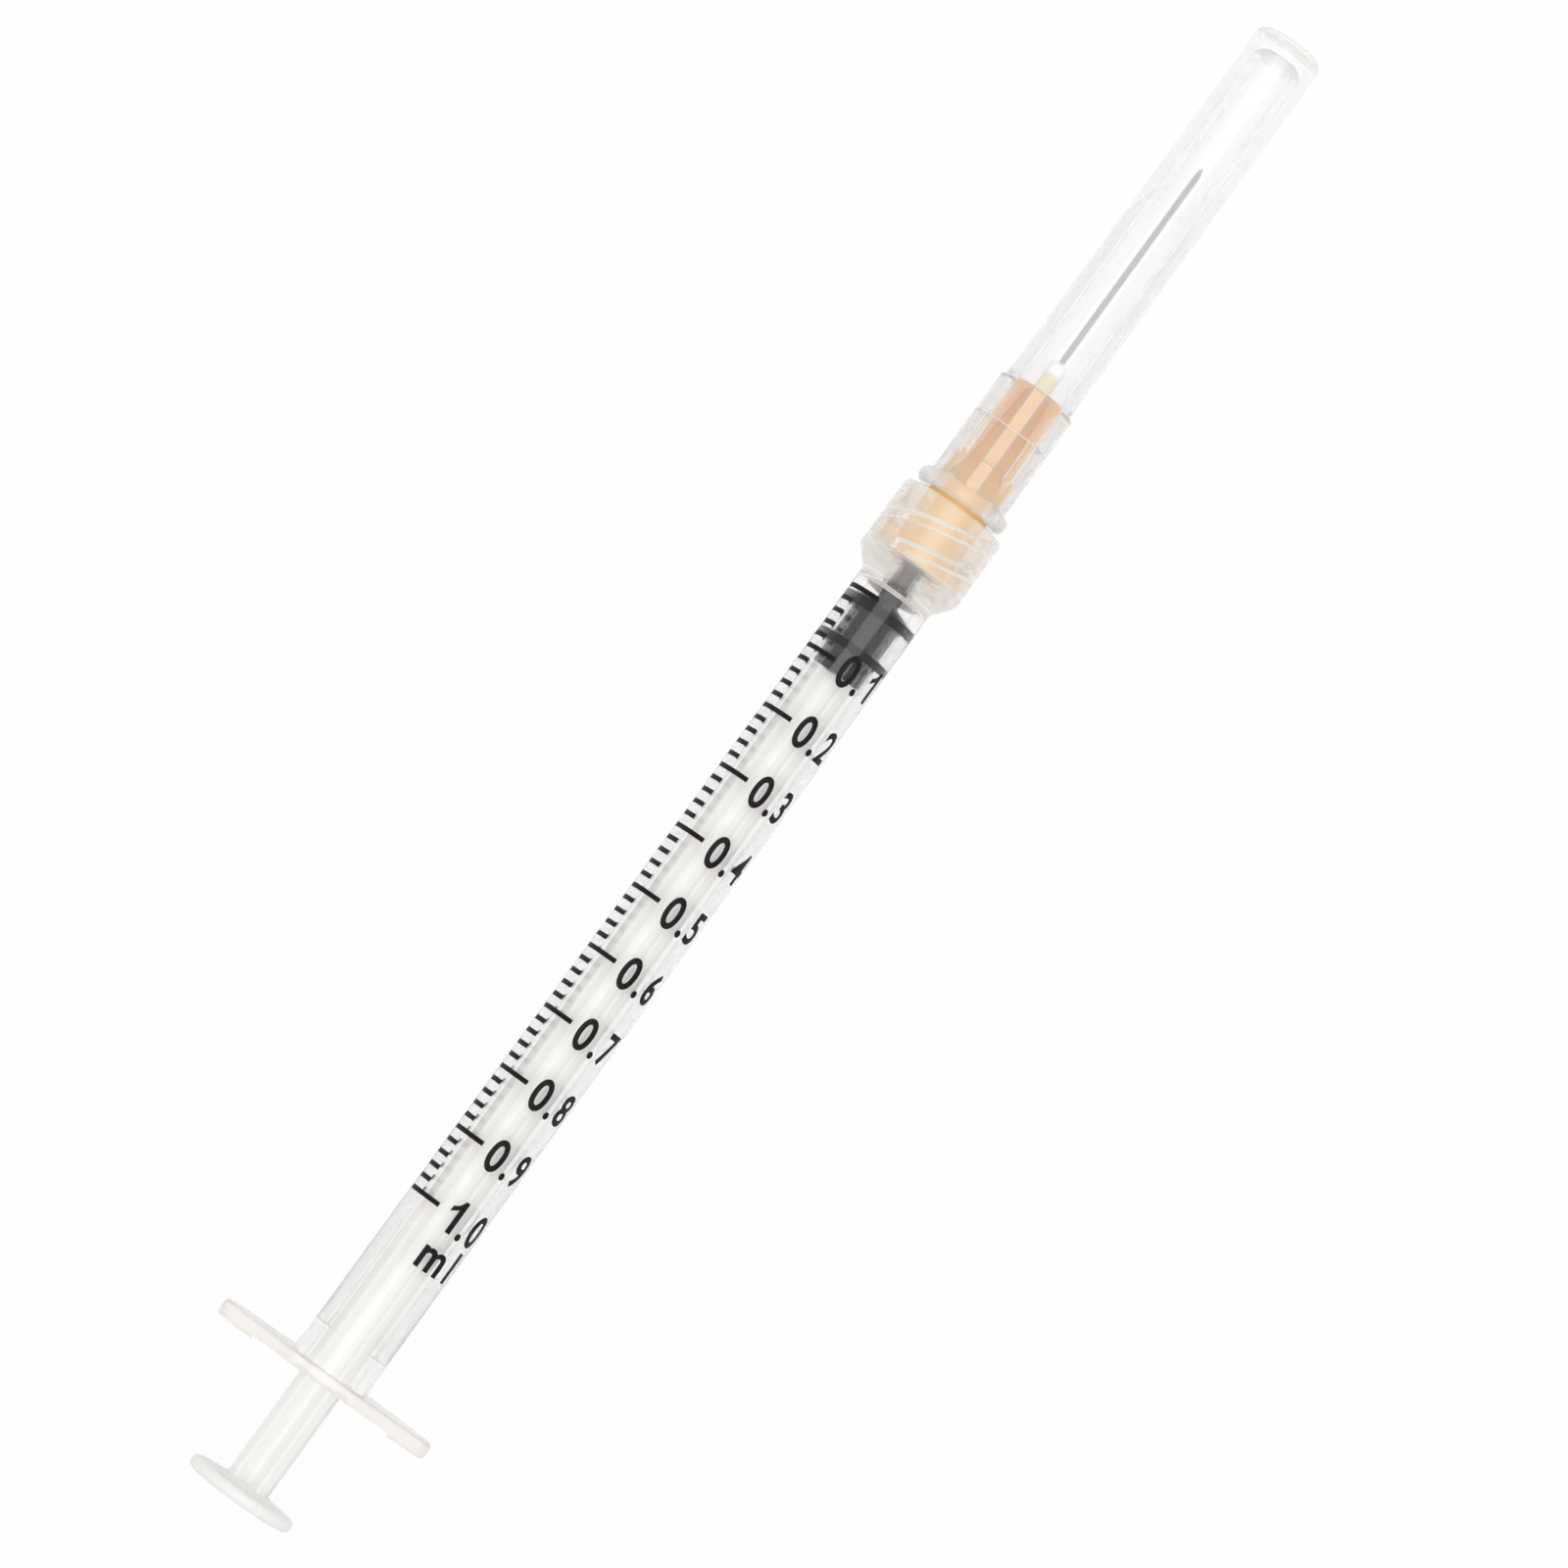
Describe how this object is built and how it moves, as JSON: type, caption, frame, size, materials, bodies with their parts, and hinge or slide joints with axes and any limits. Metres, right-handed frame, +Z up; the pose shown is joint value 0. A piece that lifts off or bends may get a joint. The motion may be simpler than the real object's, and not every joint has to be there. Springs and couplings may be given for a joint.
{
  "type": "luer lock syringe",
  "caption": "Small clear syringe with a threaded locking tip, white ribbed plunger, black rubber stopper, printed scale, and an amber-hubbed needle under a clear cap.",
  "frame": {"origin": "on the surface the syringe lies on, under the middle of its whole length", "axes": "+X along the syringe from the thumb rest to the needle, +Z up, +Y towards the side with the scale marks"},
  "size_m": [0.1398, 0.0196, 0.0094],
  "materials": {
    "barrel_plastic": "clear moulded polypropylene, polished",
    "ink": "black printed ink",
    "rod_plastic": "white moulded plastic, satin",
    "stopper_rubber": "black lubricated rubber",
    "hub_plastic": "translucent amber moulded plastic",
    "cannula_steel": "drawn and ground stainless steel",
    "adhesive": "cured white adhesive",
    "cap_plastic": "clear moulded plastic, polished"
  },
  "bodies": {
    "barrel": {"barrel": "barrel_plastic", "scale_marks": "ink"},
    "stopper": {"plunger_stopper": "stopper_rubber"},
    "rod": {"plunger_rod": "rod_plastic"},
    "needle": {"needle_hub": "hub_plastic", "needle_cannula": "cannula_steel", "needle_adhesive": "adhesive"},
    "cap": {"needle_cap": "cap_plastic"}
  },
  "joints": [
    {"name": "plunger_slide", "type": "slide", "parent": "barrel", "child": "stopper", "axis": [-1, 0, 0], "range_m": [0, 0.0653]},
    {"name": "rod_spin", "type": "hinge", "parent": "stopper", "child": "rod", "pos_m": [0, 0, 0.0047], "axis": [1, 0, 0], "continuous": true},
    {"name": "needle_release", "type": "slide", "parent": "barrel", "child": "needle", "axis": [1, 0, 0], "range_m": [0, 0.012]},
    {"name": "cap_pull", "type": "slide", "parent": "needle", "child": "cap", "axis": [1, 0, 0], "range_m": [0, 0.036]}
  ]
}
